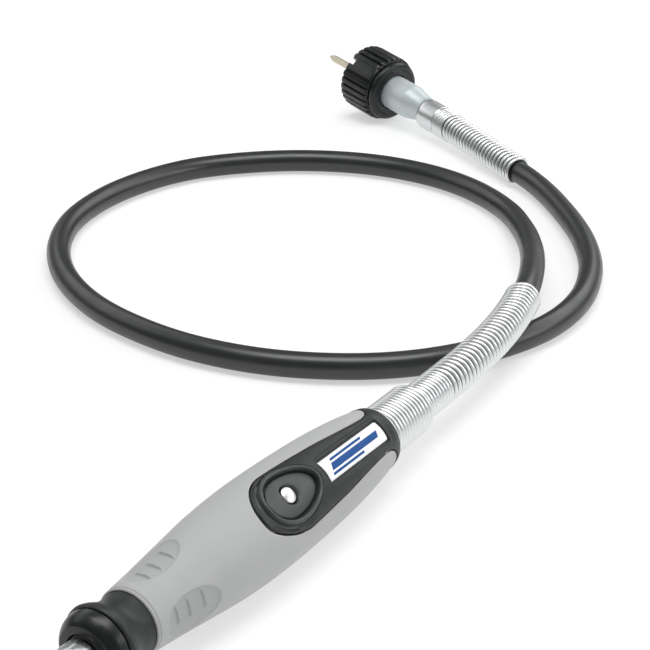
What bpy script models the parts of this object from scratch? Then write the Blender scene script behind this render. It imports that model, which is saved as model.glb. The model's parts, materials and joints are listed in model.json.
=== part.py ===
"""Flexible-shaft attachment for a rotary tool: handpiece, sheathed drive shaft and coupling.

The world frame is in metres with +Z up and the floor at z = 0. The handpiece lies along X on
the floor, its nose towards -X. The sheathed shaft leaves its rear, makes one loop on the floor,
passes under the strain-relief spring and ends in the coupling that screws on to a motor tool.

Lengths below are in millimetres and are scaled by MM where geometry is made. A station is a
distance along the handpiece, measured from the front of its inner barrel towards the rear.
A turned part's profile lists (station, radius) from the front to the rear of its outer side.
"""
import math

import bmesh
import bpy
import numpy as np
from mathutils import Matrix, Vector

MM = 0.001
GAP = 0.3

# Handpiece: where it lies, and how far it is rolled about its own axis.
MID_STATION = 54.5
AXIS_HEIGHT = 15.0
PAD_ROLL = math.radians(42)

# Grip: key points of its outer side. It bulges to a diameter of 30 mm under the fingers.
GRIP_KEYS = (
    (-1.5, 10.1), (10, 11.2), (22, 12.55), (38, 14.25), (55, 15.0),
    (75, 14.7), (94, 13.75), (108, 12.35), (117.2, 10.95),
)
GRIP_REAR = 117.2
GRIP_BORE = 9.1
GRIP_SIDES = 36
PAD_DEPTH = 2.4
PAD_PROUD = 0.15
COLLAR_REAR = 121.3
COLLAR_RADII = (10.7, 10.0)
SLEEVE_PASSAGE = 7.2
LABEL = (79.1, 114.1)
LABEL_HALF_WIDTH = 3.5
LABEL_DEPTH = 0.6

# Pad: its front is half an ellipse, then its sides are (station, half width) to the collar.
PAD_MID = 60.0
PAD_SEMI = (13.5, 10.3)
PAD_SIDES = (
    (66, 10.1), (74, 9.6), (86, 8.7), (99, 7.3), (105, 6.75), (111.5, 6.35), (114.5, 6.9),
    (116.3, 8.8),
)

# Finger dimples round the front of the grip.
DIMPLE_STATION = 12.0
DIMPLE_TURNS = (-50, 55, 180)
DIMPLE_CENTRE = 16.7
DIMPLE_SEMI = (5.2, 5.0, 10.5)

# Barrel that holds the bearings inside the grip.
BARREL = (-0.9, 113.0)
BARREL_RADII = (7.8, 8.8)

# Spindle and bearings.
SHAFT_RADIUS = 3.0
FRONT_JOURNAL = 3.95
REAR_JOURNAL = 2.7
FRONT_BEARING = (-13.7, -8.9)
REAR_BEARING = (92.0, 97.0)
RACE_WALL = 1.1
BALLS = 7
NOSE_FRONT = -30.5
HUB = (57.0, 68.0)
HUB_RADIUS = 5.2
SOCKET = (98.2, 109.5)
SOCKET_RADIUS = 4.7
SOCKET_FLOOR = 102.4
CORE_SQUARE = 2.8
PRELOAD_SPRING = (97.8, 103.2)
PRELOAD_COIL = 6.6

# Shaft-lock button in the middle of the thumb dish.
BUTTON_STATION = 62.0
BUTTON_HEAD = 2.3
BUTTON_STEM = 1.5
BUTTON_HOLE = 3.2
BUTTON_TOP = 14.1
DISH_DEPTH = 1.1
DISH_STATION = 63.3
DISH_SEMI = (11.5, 7.2)
LOCK_SPRING = (9.35, 11.6)
LOCK_SPRING_COIL = 2.1

# Strain-relief springs: round wire, closed turns first and then open ones.
WIRE_RADIUS = 0.55
TURN_POINTS = 8
HAND_SPRING_START = 122.3
HAND_SPRING_TURNS = ((12.7, 1.72, 8.0), (9.8, 1.72, 5.93), (33, 2.5, 5.93))
COUPLING_SPRING_START = 8.6
COUPLING_SPRING_TURNS = ((4.5, 1.72, 6.5), (24, 2.55, 6.0))

# Sleeve that the handpiece spring and the casing sit in and on.
SLEEVE = (104.0, 139.5)
SLEEVE_RADII = (5.2, 6.7)
FLANGE_REAR = 108.0
FLANGE_RADIUS = 7.5

# Casing of the flexible shaft: its centre line, through these points, from the handpiece.
CASING_RADIUS = 4.75
CASING_SPACING = 11.5
CASING_ROUTE = (
    (58, 0, 15.0), (80, 0, 15.1), (104, 0, 15.5), (128, 0.4, 15.9), (150, 2.1, 16.3),
    (171, 5.7, 16.6), (191, 11.1, 16.8), (213, 20.2, 14.5), (241, 34.8, 9.8), (265, 51, 6.4),
    (283, 68, 5.0), (296, 90, 4.8), (302, 113, 4.8), (301, 139, 4.8), (292, 165, 4.8),
    (275, 189, 4.8), (249, 209.5, 4.8), (214, 218.2, 4.8), (179, 214, 4.8), (152, 200, 4.8),
    (130, 178.3, 4.8), (114, 150, 4.8), (106.5, 119, 4.8), (106, 93, 4.8), (112.3, 65.7, 4.8),
    (126.8, 39.1, 4.8), (144, 21.6, 4.8), (166, 8.6, 4.8), (190, 1.4, 4.8), (216, 1.7, 4.8),
    (244, 10.4, 4.8), (271, 26.6, 4.8), (300, 52.5, 4.8), (317.6, 73.0, 5.25), (329.6, 94.4, 6.75),
    (345.4, 121.5, 8.1), (357.6, 144.6, 9.4), (359.7, 151.3, 10.3),
)

# Coupling: a point on its axis inside the nut's rear web, and the axis's direction towards the
# tip. The coupling's profiles list heights on that axis from that point.
COUPLING_CENTRE = (367.2, 175.8, 15.2)
COUPLING_HEADING = math.radians(73)
COUPLING_RISE = math.radians(8)
NUT_REAR = -2.5
NUT_FRONT = 19.6
RIBS_REAR = 0.9
NUT_RADIUS = 15.5
NUT_ROOT = 14.6
NUT_RIBS = 28
NUT_BORE = 11.5
NUT_WEB = 3.6
NUT_PASSAGE = 8.4
WINDOW_TURN = math.radians(42)
WINDOW_WIDTH = 6.6
NOTCH_TURN = math.radians(46)
NOTCH_SIZE = (3.2, 2.8)
FERRULE_RADIUS = 8.0
FERRULE_BORE = 3.2
CRIMP_SAG = 1.2
CORE_RADIUS = 1.45
CORE_TIP = 45.0

SIDES = 28


def remove_everything():
    for item in list(bpy.data.objects):
        bpy.data.objects.remove(item, do_unlink=True)
    for group in list(bpy.data.collections):
        bpy.data.collections.remove(group)


def make_collection(name):
    group = bpy.data.collections.new(name)
    bpy.context.scene.collection.children.link(group)
    return group


def material(name, colour, roughness, metallic=0.0):
    made = bpy.data.materials.new(name)
    made.use_nodes = True
    shader = made.node_tree.nodes["Principled BSDF"]
    shader.inputs["Base Color"].default_value = (*colour, 1.0)
    shader.inputs["Roughness"].default_value = roughness
    shader.inputs["Metallic"].default_value = metallic
    return made


def empty(name, group, matrix, parent=None):
    made = bpy.data.objects.new(name, None)
    group.objects.link(made)
    made.parent = parent
    made.matrix_basis = matrix
    return made


def add_object(name, data, group, parent, look=None):
    made = bpy.data.objects.new(name, data)
    group.objects.link(made)
    made.parent = parent
    if look:
        data.materials.append(look)
    return made


def as_cutter(item):
    item.hide_render = True
    item.display_type = "WIRE"
    return item


def hand(profile):
    """Handpiece stations turned into heights on its axis, whose +Z points to the nose."""
    return [(MID_STATION - station, radius) for station, radius in profile]


def sleeve(front, rear, inner, outer):
    """Profile of a plain ring or tube, by handpiece stations."""
    return hand([(front, outer), (rear, outer), (rear, inner), (front, inner)])


def smooth_through(keys, spacing):
    """Points at even spacing on a centripetal Catmull-Rom curve through the keys."""
    keys = np.array(keys, float)
    ends = 2 * keys[0] - keys[1], 2 * keys[-1] - keys[-2]
    padded = np.vstack([ends[0], keys, ends[1]])
    knots = np.cumsum(np.r_[0, np.linalg.norm(np.diff(padded, axis=0), axis=1) ** 0.5])
    fine = []
    for i in range(1, len(padded) - 2):
        for t in np.linspace(knots[i], knots[i + 1], 24, endpoint=False):
            fine.append(catmull_point(padded[i - 1:i + 3], knots[i - 1:i + 3], t))
    fine.append(keys[-1])
    fine = np.array(fine)
    arc = np.r_[0, np.cumsum(np.linalg.norm(np.diff(fine, axis=0), axis=1))]
    count = max(2, round(arc[-1] / spacing) + 1)
    even = np.linspace(0, arc[-1], count)
    return np.stack([np.interp(even, arc, fine[:, k]) for k in range(fine.shape[1])], axis=1)


def catmull_point(p, k, t):
    """Point at knot value t on one stretch, from its four points and four knot values."""
    level = [p[i] + (p[i + 1] - p[i]) * (t - k[i]) / (k[i + 1] - k[i]) for i in range(3)]
    level = [
        level[i] + (level[i + 1] - level[i]) * (t - k[i]) / (k[i + 2] - k[i]) for i in range(2)
    ]
    return level[0] + (level[1] - level[0]) * (t - k[1]) / (k[2] - k[1])


def turned(name, profile, group, parent, look=None, sides=SIDES):
    """Body turned about local Z from (height, radius) points, top to bottom on the outside."""
    mesh = bpy.data.meshes.new(name)
    on_axis = profile[0][1] == 0
    count = len(profile)
    edges = [(i, i + 1) for i in range(count - 1)]
    if not on_axis:
        edges.append((count - 1, 0))
    mesh.from_pydata([(r * MM, 0, z * MM) for z, r in profile], edges, [])
    made = add_object(name, mesh, group, parent, look)
    screw = made.modifiers.new("turn", "SCREW")
    screw.axis = "Z"
    screw.angle = 2 * math.pi
    screw.steps = sides
    screw.render_steps = sides
    screw.use_merge_vertices = True
    screw.merge_threshold = 0.00001
    screw.use_smooth_shade = False
    return made


def boolean(item, other, operation):
    step = item.modifiers.new(operation.lower(), "BOOLEAN")
    step.operation = operation
    step.object = other
    step.solver = "EXACT"


def cylinder(name, radius, length, group, parent, look=None, sides=SIDES):
    """Primitive cylinder about local Z, centred on its parent."""
    mesh = bpy.data.meshes.new(name)
    shape = bmesh.new()
    bmesh.ops.create_cone(
        shape, cap_ends=True, segments=sides, radius1=radius * MM, radius2=radius * MM,
        depth=length * MM,
    )
    shape.to_mesh(mesh)
    shape.free()
    return add_object(name, mesh, group, parent, look)


def box(name, size, group, parent, look=None):
    mesh = bpy.data.meshes.new(name)
    shape = bmesh.new()
    bmesh.ops.create_cube(shape, size=MM)
    bmesh.ops.scale(shape, vec=size, verts=shape.verts)
    shape.to_mesh(mesh)
    shape.free()
    return add_object(name, mesh, group, parent, look)


def prism(name, outline, height, group, parent):
    """Straight prism over a closed outline, as a mesh, centred on its parent's XY plane."""
    curve = bpy.data.curves.new(name, "CURVE")
    curve.dimensions = "2D"
    curve.fill_mode = "BOTH"
    curve.extrude = height * MM / 2
    for ring in outline:
        spline = curve.splines.new("POLY")
        spline.points.add(len(ring) - 1)
        for point, (x, y) in zip(spline.points, ring):
            point.co = (x * MM, y * MM, 0, 1)
        spline.use_cyclic_u = True
    return as_mesh(name, curve, group, parent)


def as_mesh(name, curve, group, parent, look=None):
    """Mesh object made from a curve, with its caps welded, in place of the curve."""
    source = add_object(name + "_curve", curve, group, parent)
    bpy.context.view_layer.update()
    evaluated = source.evaluated_get(bpy.context.evaluated_depsgraph_get())
    mesh = bpy.data.meshes.new_from_object(evaluated)
    place = source.matrix_world.copy()
    bpy.data.objects.remove(source)
    shape = bmesh.new()
    shape.from_mesh(mesh)
    bmesh.ops.remove_doubles(shape, verts=shape.verts, dist=0.000005)
    bmesh.ops.recalc_face_normals(shape, faces=shape.faces)
    shape.to_mesh(mesh)
    shape.free()
    mesh.materials.clear()
    made = add_object(name, mesh, group, parent, look)
    made.matrix_world = place
    return made


def wire(name, points, radius, group, look, resolution):
    """Curve object of round section along points given in world millimetres."""
    curve = bpy.data.curves.new(name, "CURVE")
    curve.dimensions = "3D"
    curve.bevel_depth = radius * MM
    curve.bevel_resolution = resolution
    curve.use_fill_caps = True
    spline = curve.splines.new("POLY")
    spline.points.add(len(points) - 1)
    for point, place in zip(spline.points, points):
        point.co = (*(float(c) * MM for c in place), 1)
    return add_object(name, curve, group, None, look)


def along_axis(front, rear):
    """Offset on the handpiece axis that centres a piece between two stations."""
    return Matrix.Translation((0, 0, (MID_STATION - (front + rear) / 2) * MM))


# --- Outlines on the grip, as (station, half width) seen along the pad's direction ---


def mirrored(half):
    """Closed outline from its half at positive width, front to rear."""
    return list(half) + [(s, -w) for s, w in reversed(half) if w > 0]


def pad_outline(margin=0.0):
    """Bottle shape: a broad round end at the dish, a neck, and a flare into the collar."""
    front = [
        (PAD_MID - (PAD_SEMI[0] + margin) * math.cos(a), (PAD_SEMI[1] + margin) * math.sin(a))
        for a in np.radians([0, 12, 25, 40, 55, 72, 90])
    ]
    flare = [(s, w + margin) for s, w in PAD_SIDES]
    return mirrored(front + flare + [(COLLAR_REAR + 2, 9.9 + margin)])


def oval(station, semi, margin=0.0, count=32):
    """Egg shape that is fuller at its front end."""
    ring = []
    for i in range(count):
        a = 2 * math.pi * i / count
        fuller = 1 + 0.10 * math.cos(a)
        x = -(semi[0] + margin) * math.cos(a)
        ring.append((station + x, (semi[1] + margin) * math.sin(a) * fuller))
    return ring


def label_outline(margin=0.0):
    front, rear = LABEL[0] - margin, LABEL[1] + margin
    half = LABEL_HALF_WIDTH + margin
    return mirrored([(front, 0), (front, half), (rear - 0.8, half), (rear - 0.1, half - 0.7),
                     (rear + 0.2, 0)])


def grip_side(offset, rear=GRIP_REAR):
    """The grip's outer side, moved out by an offset and run straight on past its ends."""
    side = [(float(s), float(r) + offset) for s, r in smooth_through(GRIP_KEYS, 9.0)]
    if rear > GRIP_REAR:
        side.append((rear, COLLAR_RADII[1] + offset))
    return side


def skin_patch(name, outline, inner, outer, group, parent, cutters, look=None):
    """Piece of the grip's skin between two offsets, inside an outline on the pad's side."""
    profile = grip_side(outer, COLLAR_REAR)
    profile += [(s, r) for s, r in reversed(grip_side(inner, COLLAR_REAR))]
    skin = turned(name, hand(profile), group, parent, look, GRIP_SIDES)
    plan = [(MID_STATION - s, w) for s, w in outline]
    punch = as_cutter(prism(name + "_punch", [plan], 20, cutters, parent))
    # The punch's plan lies along the axis, and it reaches from the axis out past the skin.
    punch.matrix_basis = Matrix(((0, 0, 1, 0.0105), (0, -1, 0, 0), (1, 0, 0, 0), (0, 0, 0, 1)))
    boolean(skin, punch, "INTERSECT")
    return skin


# --- Handpiece ---


def grip_shell(parts, cutters, axis, looks):
    bore = [
        (GRIP_REAR, SLEEVE_PASSAGE), (BARREL[1] + GAP, SLEEVE_PASSAGE),
        (BARREL[1] + GAP, GRIP_BORE), (-1.5, GRIP_BORE),
    ]
    shell = turned("grip_shell", hand(grip_side(0) + bore), parts, axis, looks["grip"],
                   GRIP_SIDES)
    pocket = skin_patch("pad_pocket", pad_outline(GAP), -PAD_DEPTH - GAP, 3, cutters, axis,
                        cutters)
    boolean(shell, as_cutter(pocket), "DIFFERENCE")
    for index, turn in enumerate(DIMPLE_TURNS):
        place = Matrix.Rotation(math.radians(turn), 4, "Z") @ Matrix.Translation(
            (DIMPLE_CENTRE * MM, 0, (MID_STATION - DIMPLE_STATION) * MM))
        dimple = sphere_cutter("dimple_%d" % index, DIMPLE_SEMI, cutters, axis, place)
        boolean(shell, dimple, "DIFFERENCE")
    boolean(shell, button_bore(cutters, axis, "grip_button_hole", BUTTON_HOLE), "DIFFERENCE")
    return shell


def sphere_cutter(name, semi, cutters, parent, place):
    mesh = bpy.data.meshes.new(name)
    shape = bmesh.new()
    bmesh.ops.create_uvsphere(shape, u_segments=14, v_segments=8, radius=MM)
    bmesh.ops.scale(shape, vec=semi, verts=shape.verts)
    shape.to_mesh(mesh)
    shape.free()
    made = as_cutter(add_object(name, mesh, cutters, parent))
    made.matrix_basis = place
    return made


def button_bore(cutters, axis, name, radius):
    """Radial hole for the lock button, from 7 mm off the axis outwards."""
    hole = as_cutter(cylinder(name, radius, 14, cutters, axis, sides=20))
    hole.matrix_basis = (
        Matrix.Translation((0.014, 0, (MID_STATION - BUTTON_STATION) * MM))
        @ Matrix.Rotation(math.pi / 2, 4, "Y")
    )
    return hole


def thumb_pad(parts, cutters, axis, looks):
    """Dark inlay: the pad with its dish, and the collar round the grip's rear end."""
    pad = skin_patch("thumb_pad", pad_outline(), -PAD_DEPTH, PAD_PROUD, parts, axis, cutters,
                     looks["pad"])
    ring = turned("rear_collar_ring", hand([
        (GRIP_REAR + GAP, COLLAR_RADII[0]), (COLLAR_REAR - 0.5, COLLAR_RADII[1] + 0.15),
        (COLLAR_REAR, COLLAR_RADII[1] - 0.4), (COLLAR_REAR, SLEEVE_PASSAGE),
        (GRIP_REAR + GAP, SLEEVE_PASSAGE),
    ]), cutters, axis, sides=36)
    boolean(pad, as_cutter(ring), "UNION")
    dish = skin_patch("dish_cutter", oval(DISH_STATION, DISH_SEMI), -DISH_DEPTH, 2,
                      cutters, axis, cutters)
    boolean(pad, as_cutter(dish), "DIFFERENCE")
    label = skin_patch("label_pocket", label_outline(GAP), -LABEL_DEPTH - GAP, 2, cutters, axis,
                       cutters)
    boolean(pad, as_cutter(label), "DIFFERENCE")
    boolean(pad, button_bore(cutters, axis, "pad_button_hole", BUTTON_HOLE), "DIFFERENCE")
    return pad


def label_plate(parts, cutters, axis, looks):
    return skin_patch("label_plate", label_outline(), -LABEL_DEPTH, 0.1, parts, axis, cutters,
                      looks["label"])


def barrel(parts, cutters, axis, looks):
    tube = turned("inner_barrel", sleeve(*BARREL, *BARREL_RADII), parts, axis, looks["metal"],
                  32)
    boolean(tube, button_bore(cutters, axis, "barrel_stem_hole", BUTTON_STEM + 0.35),
            "DIFFERENCE")
    return tube


def nose(parts, axis, looks):
    turned("nose_collar", hand([
        (-14, 11.1), (-13.4, 11.7), (-11.6, 11.5), (-9.6, 10.6), (-7.6, 9.8), (-5.6, 9.4),
        (-3.6, 9.5), (-1.9, 9.9), (-1.9, 7.5), (10, 7.5), (10, 5.6), (-8.6, 5.6),
        (-8.6, 8.3), (-14, 8.3),
    ]), parts, axis, looks["pad"])
    turned("nose_ring", hand([
        (-19.5, 8.4), (-19.1, 9.2), (-17.6, 10.2), (-15.6, 10.9), (-14.3, 11.1), (-14.3, 6.3),
        (-19.5, 6.3),
    ]), parts, axis, looks["black"])
    turned("dust_seal", sleeve(-18.8, -16.6, 4.4, 6.0), parts, axis, looks["felt"], 24)


def bearing(prefix, span, bore, outer, parts, cutters, axis, looks):
    """Ball bearing: outer ring, inner ring, and a cage with its balls."""
    front, rear = span
    turned(prefix + "_outer_ring", sleeve(front, rear, outer - RACE_WALL, outer), parts, axis,
           looks["steel"], 24)
    turned(prefix + "_inner_ring", sleeve(front, rear, bore, bore + RACE_WALL), parts, axis,
           looks["steel"], 24)
    pitch = (bore + outer) / 2
    ball = (outer - bore) / 2 - RACE_WALL - GAP
    middle = (front + rear) / 2
    cage = turned(prefix + "_ball_cage",
                  sleeve(middle - 0.5, middle + 0.5, pitch - 0.3, pitch + 0.3), parts, axis,
                  looks["brass"], 24)
    mesh = bpy.data.meshes.new(prefix + "_balls")
    shape = bmesh.new()
    for index in range(BALLS):
        angle = 2 * math.pi * (index + 0.25) / BALLS
        place = Matrix.Translation((
            pitch * MM * math.cos(angle), pitch * MM * math.sin(angle),
            (MID_STATION - middle) * MM))
        bmesh.ops.create_uvsphere(shape, u_segments=6, v_segments=4, radius=ball * MM,
                                  matrix=place)
    shape.to_mesh(mesh)
    shape.free()
    balls = as_cutter(add_object(prefix + "_balls", mesh, cutters, axis))
    boolean(cage, balls, "UNION")


def spindle(parts, cutters, axis, looks):
    body = turned("spindle", hand([
        (-5, 0), (-5, 1.9), (-17, 2.3), (-25.5, 3.3), (-25.5, FRONT_JOURNAL),
        (-8.6, FRONT_JOURNAL), (-8.6, 4.9), (-5.2, 4.9), (-5.2, SHAFT_RADIUS),
        (HUB[0], SHAFT_RADIUS), (HUB[0], HUB_RADIUS), (HUB[1], HUB_RADIUS),
        (HUB[1], SHAFT_RADIUS), (91.6, SHAFT_RADIUS), (91.6, REAR_JOURNAL),
        (102, REAR_JOURNAL), (102, 0),
    ]), parts, axis, looks["steel"], 24)
    for index in range(2):
        hole = as_cutter(cylinder("lock_hole_%d" % index, BUTTON_STEM + 0.4, 14, cutters, axis,
                                  sides=16))
        hole.matrix_basis = (
            Matrix.Translation((0, 0, (MID_STATION - BUTTON_STATION) * MM))
            @ Matrix.Rotation(index * math.pi / 2, 4, "Z")
            @ Matrix.Rotation(math.pi / 2, 4, "Y")
        )
        boolean(body, hole, "DIFFERENCE")
    return body


def collet_and_nut(parts, cutters, axis, looks):
    collet = turned("collet", hand([
        (-30.1, 2.6), (-28.6, 3.25), (-26.6, 3.25), (-25.9, 2.95), (-17.8, 1.95),
        (-17.8, 1.6), (-30.1, 1.6),
    ]), parts, axis, looks["brass"], 24)
    for index in range(2):
        slot = as_cutter(box("collet_slot_%d" % index, (8, 0.5, 9), cutters, axis))
        slot.matrix_basis = along_axis(-30.5, -21.5) @ Matrix.Rotation(
            index * math.pi / 2, 4, "Z")
        boolean(collet, slot, "DIFFERENCE")
    nut = turned("collet_nut", hand([
        (NOSE_FRONT, 4.3), (-29.9, 4.8), (-26.5, 5.3), (-25.5, 5.7), (-20.6, 5.7),
        (-20.2, 5.4), (-20.2, 4.25), (-26.3, 4.25), (-26.9, 3.6), (-28.7, 3.6),
        (NOSE_FRONT, 2.95),
    ]), parts, axis, looks["steel"], 36)
    flats = as_cutter(cylinder("collet_nut_flats", 5.55, 14, cutters, axis, sides=6))
    flats.matrix_basis = along_axis(-32, -18)
    boolean(nut, flats, "INTERSECT")
    return nut


def drive_end(parts, cutters, axis, looks):
    """Square socket on the spindle's rear end, and the end of the flexible core in it."""
    turned("bearing_spacer", sleeve(HUB[1] + GAP, 91.3, 3.3, 4.2), parts, axis,
           looks["metal"], 24)
    socket = turned("drive_socket", sleeve(*SOCKET, SHAFT_RADIUS, SOCKET_RADIUS), parts, axis,
                    looks["steel"], 24)
    plug = turned("socket_square", hand([
        (SOCKET_FLOOR, 0), (SOCKET_FLOOR, SOCKET_RADIUS - 0.8),
        (SOCKET[1], SOCKET_RADIUS - 0.8), (SOCKET[1], 0),
    ]), cutters, axis, sides=24)
    hole_side = CORE_SQUARE + 2 * GAP
    square = as_cutter(box("socket_hole", (hole_side, hole_side, 12), cutters, axis))
    square.matrix_basis = along_axis(SOCKET_FLOOR + GAP, SOCKET_FLOOR + GAP + 12)
    boolean(socket, as_cutter(plug), "UNION")
    boolean(socket, square, "DIFFERENCE")
    core = box("core_end_square", (CORE_SQUARE, CORE_SQUARE, 7.4), parts, axis, looks["core"])
    front = SOCKET_FLOOR + 2 * GAP
    core.data.transform(along_axis(front, front + 7.4))
    tail = turned("core_end_tail", hand([
        (front + 7, 0), (front + 7, CORE_SQUARE / 2 - 0.1), (front + 8.6, CORE_SQUARE / 2 - 0.1),
        (front + 8.6, 0),
    ]), cutters, axis, sides=12)
    boolean(core, as_cutter(tail), "UNION")


def lock_button(parts, axis, looks):
    """Button, its return spring and its guide bush, about a radial axis through the dish."""
    place = (
        Matrix.Translation((0, 0, (MID_STATION - BUTTON_STATION) * MM))
        @ Matrix.Rotation(math.pi / 2, 4, "Y")
    )
    guide = empty("button_axis", parts, place, axis)
    dome = [
        (BUTTON_TOP - 1.1 * (1 - math.cos(a)), BUTTON_HEAD * math.sin(a))
        for a in np.radians([0, 30, 60, 90])
    ]
    turned("lock_button", dome + [
        (12.0, BUTTON_HEAD), (12.0, BUTTON_STEM), (6.0, BUTTON_STEM), (5.6, 1.1), (5.6, 0),
    ], parts, guide, looks["steel"], 20)
    turned("button_guide", [(12.2, 2.95), (9.15, 2.95), (9.15, 2.65), (12.2, 2.65)], parts,
           guide, looks["brass"], 20)
    return guide


def lock_spring(parts, guide, looks):
    """Return spring round the button's stem, from the barrel up to the button's head."""
    bpy.context.view_layer.update()
    place = guide.matrix_world
    steps = 30
    points = []
    for i in range(steps + 1):
        a = 2 * math.pi * i / 12
        height = LOCK_SPRING[0] + (LOCK_SPRING[1] - LOCK_SPRING[0]) * i / steps
        across = LOCK_SPRING_COIL * math.cos(a), LOCK_SPRING_COIL * math.sin(a)
        points.append((place @ (Vector((*across, height)) * MM)) / MM)
    wire("lock_spring", points, 0.2, parts, looks["steel"], 0)


def preload_spring(parts, axis, looks):
    """Coil that presses the rear bearing forward, between it and the sleeve's flange."""
    bpy.context.view_layer.update()
    place = axis.matrix_world
    steps = 30
    front, rear = PRELOAD_SPRING
    points = []
    for i in range(steps + 1):
        a = 2 * math.pi * i / 10
        station = front + (rear - front) * i / steps
        across = PRELOAD_COIL * math.cos(a), PRELOAD_COIL * math.sin(a)
        points.append((place @ (Vector((*across, MID_STATION - station)) * MM)) / MM)
    wire("preload_spring", points, 0.4, parts, looks["steel"], 0)


def rear_sleeve(parts, axis, looks):
    turned("rear_sleeve", hand([
        (SLEEVE[0], FLANGE_RADIUS), (FLANGE_REAR, FLANGE_RADIUS),
        (FLANGE_REAR, SLEEVE_RADII[1]), (SLEEVE[1] - 0.5, SLEEVE_RADII[1]),
        (SLEEVE[1], SLEEVE_RADII[1] - 0.5), (SLEEVE[1], SLEEVE_RADII[0]),
        (SLEEVE[0], SLEEVE_RADII[0]),
    ]), parts, axis, looks["steel"])


# --- Springs and casing ---


def casing_line():
    """Fine centre line of the casing, kept on or above the floor."""
    line = smooth_through(CASING_ROUTE, 1.0)
    line[:, 2] = np.maximum(line[:, 2], CASING_RADIUS + 0.03)
    return line


def coil(line, start, sections):
    """Points of a helix round a line, from an arc length on it, in sections of even turns."""
    arc = np.r_[0, np.cumsum(np.linalg.norm(np.diff(line, axis=0), axis=1))]
    tangents = np.gradient(line, arc, axis=0)
    side = Vector((0, 1, 0))
    sides = []
    for tangent in tangents:
        along = Vector(tangent).normalized()
        side = (side - along * side.dot(along)).normalized()
        sides.append(np.array(side))
    sides = np.array(sides)
    points = []
    angle, travel, radius = 0.0, start, sections[0][2]
    for turns, pitch, target in sections:
        for _ in range(round(turns * TURN_POINTS)):
            at = np.array([np.interp(travel, arc, line[:, k]) for k in range(3)])
            along = Vector([np.interp(travel, arc, tangents[:, k]) for k in range(3)])
            out = Vector([np.interp(travel, arc, sides[:, k]) for k in range(3)])
            across = along.normalized().cross(out)
            ring = np.array(out) * math.cos(angle) + np.array(across) * math.sin(angle)
            points.append(at + ring * radius)
            angle += 2 * math.pi / TURN_POINTS
            travel += pitch / TURN_POINTS
            radius += (target - radius) * 0.35
    return points


def casing_and_springs(parts, looks):
    line = casing_line()
    tube = smooth_through(CASING_ROUTE, CASING_SPACING)
    tube[:, 2] = np.maximum(tube[:, 2], CASING_RADIUS + 0.03)
    wire("flex_casing", tube, CASING_RADIUS, parts, looks["casing"], 3)
    first = HAND_SPRING_START - MID_STATION - CASING_ROUTE[0][0]
    wire("handpiece_spring", coil(line, first, HAND_SPRING_TURNS), WIRE_RADIUS, parts,
         looks["steel"], 0)
    wire("coupling_spring", coil(line[::-1], COUPLING_SPRING_START, COUPLING_SPRING_TURNS),
         WIRE_RADIUS, parts, looks["steel"], 0)


# --- Coupling ---


def coupling_axis(parts):
    """Empty at the nut's rear face with +Z along the coupling towards the core's tip."""
    flat = math.cos(COUPLING_RISE)
    along = Vector((
        flat * math.cos(COUPLING_HEADING), flat * math.sin(COUPLING_HEADING),
        math.sin(COUPLING_RISE),
    ))
    turn = along.to_track_quat("Z", "Y").to_matrix().to_4x4()
    return empty("coupling_axis", parts, Matrix.Translation(
        [c * MM for c in COUPLING_CENTRE]) @ turn)


def ferrule(parts, axis, looks):
    turned("coupling_ferrule", [
        (7.0, FERRULE_RADIUS - 0.4), (6.6, FERRULE_RADIUS), (-16, FERRULE_RADIUS),
        (-17.6, 7.8), (-21, 7.0), (-25, 5.9), (-25, FERRULE_BORE), (7.0, FERRULE_BORE),
    ], parts, axis, looks["zinc"])
    hang = empty("crimp_axis", parts, Matrix.Translation((0, -CRIMP_SAG * MM, 0)), axis)
    turned("crimp_ring", [
        (-25.3, 6.3), (-26.2, 7.0), (-32.4, 7.05), (-32.7, 6.9), (-32.7, 5.35),
        (-25.3, 5.35),
    ], parts, hang, looks["steel"])
    turned("nut_retaining_ring", [(5.2, 10.8), (4.0, 10.8), (4.0, 8.35), (5.2, 8.35)], parts,
           axis, looks["steel"])
    turned("ferrule_bush", [(6.6, 2.9), (-1, 2.9), (-1, 1.8), (6.6, 1.8)], parts, axis,
           looks["brass"], 20)


def ribbed_ring():
    """Outline of the nut's grip ribs: raised bands with narrow grooves between them."""
    ring = []
    for i in range(NUT_RIBS):
        base = 2 * math.pi * i / NUT_RIBS
        step = 2 * math.pi / NUT_RIBS
        for share, radius in ((0.0, NUT_ROOT), (0.25, NUT_RADIUS), (0.75, NUT_RADIUS)):
            angle = base + share * step
            ring.append((radius * math.cos(angle), radius * math.sin(angle)))
    return ring


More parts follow.
